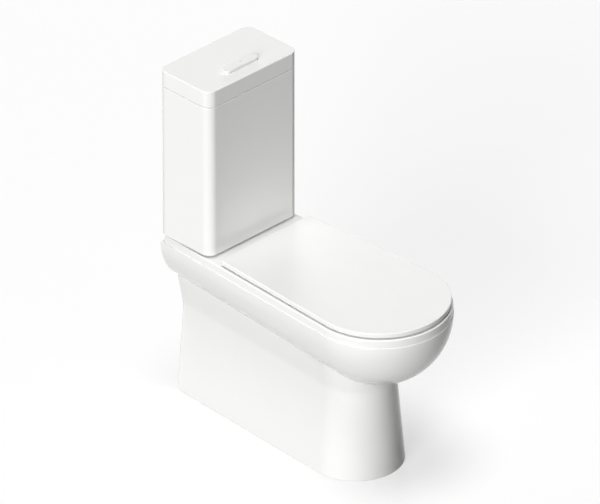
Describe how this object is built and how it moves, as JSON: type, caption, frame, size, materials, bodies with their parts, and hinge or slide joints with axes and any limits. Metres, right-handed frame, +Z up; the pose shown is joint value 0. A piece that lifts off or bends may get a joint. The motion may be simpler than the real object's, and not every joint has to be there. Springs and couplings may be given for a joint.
{
  "type": "toilet",
  "caption": "Wall-faced close-coupled toilet with tall cistern, push-button dual flush, and a long slim seat and lid that both lift on rear hinges.",
  "frame": {"origin": "on the floor, midway between the wall plane and the front of the bowl, on the middle plane", "axes": "+Z up, -Y to the front of the bowl, +Y to the wall, +X to the right seen from the front facing the wall"},
  "size_m": [0.3654, 0.8, 0.954],
  "materials": {
    "vitreous_china": "gloss",
    "seat_plastic": "gloss",
    "button_plastic": "gloss",
    "valve_plastic": "satin",
    "blue_plastic": "satin",
    "grey_plastic": "satin",
    "black_rubber": "matte",
    "clear_rubber": "satin",
    "stainless": "satin",
    "brass": "satin"
  },
  "bodies": {
    "toilet": {"pan": "vitreous_china", "cistern_tank": "vitreous_china", "cistern_lid": "vitreous_china", "button_housing": "button_plastic", "flush_valve_base": "valve_plastic", "base_washer": "black_rubber", "valve_locknut": "valve_plastic", "tank_gasket": "black_rubber", "valve_tower": "valve_plastic", "tower_head": "grey_plastic", "lever_pins": "stainless", "coupling_bolts": "stainless", "bolt_washers": "black_rubber", "plate_washers": "stainless", "wing_nuts": "brass", "tank_cushions": "black_rubber", "fill_valve_column": "valve_plastic", "fill_washer": "black_rubber", "inlet_locknut": "valve_plastic", "fill_valve_cap": "grey_plastic", "fill_lever_pin": "stainless", "hinge_posts": "stainless", "hinge_pins": "stainless", "hinge_bolts": "stainless", "expansion_sleeves": "black_rubber", "hinge_nuts": "stainless"},
    "seat": {"seat_ring": "seat_plastic", "seat_buffers": "clear_rubber"},
    "lid": {"seat_lid": "seat_plastic", "lid_buffers": "clear_rubber"},
    "full_button": {"full_flush_button": "button_plastic", "full_push_rod": "valve_plastic"},
    "half_button": {"half_flush_button": "button_plastic", "half_push_rod": "valve_plastic"},
    "full_rocker": {"full_flush_lever": "blue_plastic"},
    "half_rocker": {"half_flush_lever": "blue_plastic"},
    "valve": {"lift_tube": "valve_plastic", "valve_seal": "clear_rubber"},
    "float": {"float_cup": "valve_plastic", "float_link": "stainless"},
    "fill_arm": {"fill_lever": "blue_plastic"}
  },
  "joints": [
    {"name": "seat_hinge", "type": "hinge", "parent": "toilet", "child": "seat", "pos_m": [0, 0.1805, 0.4825], "axis": [-1, 0, 0], "range_deg": [0, 93]},
    {"name": "lid_hinge", "type": "hinge", "parent": "seat", "child": "lid", "pos_m": [0, 0.1805, 0.4825], "axis": [1, 0, 0], "range_deg": [-93, 0]},
    {"name": "full_flush_press", "type": "slide", "parent": "toilet", "child": "full_button", "axis": [0, 0, -1], "range_m": [0, 0.006], "stiffness_N_per_m": 600, "springref_m": -0.002},
    {"name": "half_flush_press", "type": "slide", "parent": "toilet", "child": "half_button", "axis": [0, 0, -1], "range_m": [0, 0.006], "stiffness_N_per_m": 600, "springref_m": -0.002},
    {"name": "full_rocker_turn", "type": "hinge", "parent": "toilet", "child": "full_rocker", "pos_m": [-0.034, 0.28, 0.787], "axis": [0, -1, 0], "range_deg": [0, 36.97]},
    {"name": "half_rocker_turn", "type": "hinge", "parent": "toilet", "child": "half_rocker", "pos_m": [0.034, 0.28, 0.787], "axis": [0, 1, 0], "range_deg": [0, 36.97]},
    {"name": "valve_lift", "type": "slide", "parent": "toilet", "child": "valve", "axis": [0, 0, 1], "range_m": [0, 0.0087]},
    {"name": "float_drop", "type": "slide", "parent": "toilet", "child": "float", "axis": [0, 0, -1], "range_m": [0, 0.018]},
    {"name": "fill_arm_turn", "type": "hinge", "parent": "toilet", "child": "fill_arm", "pos_m": [-0.112, 0.354, 0.859], "axis": [1, 0, 0], "range_deg": [0, 28.1]}
  ],
  "couplings": [
    {"joint": "full_rocker_turn", "follows": "full_flush_press", "rad_per_m": 107.25},
    {"joint": "valve_lift", "follows": "full_flush_press", "ratio": 1.45},
    {"joint": "half_rocker_turn", "follows": "half_flush_press", "rad_per_m": 107.25},
    {"joint": "fill_arm_turn", "follows": "float_drop", "rad_per_m": 27.15}
  ]
}
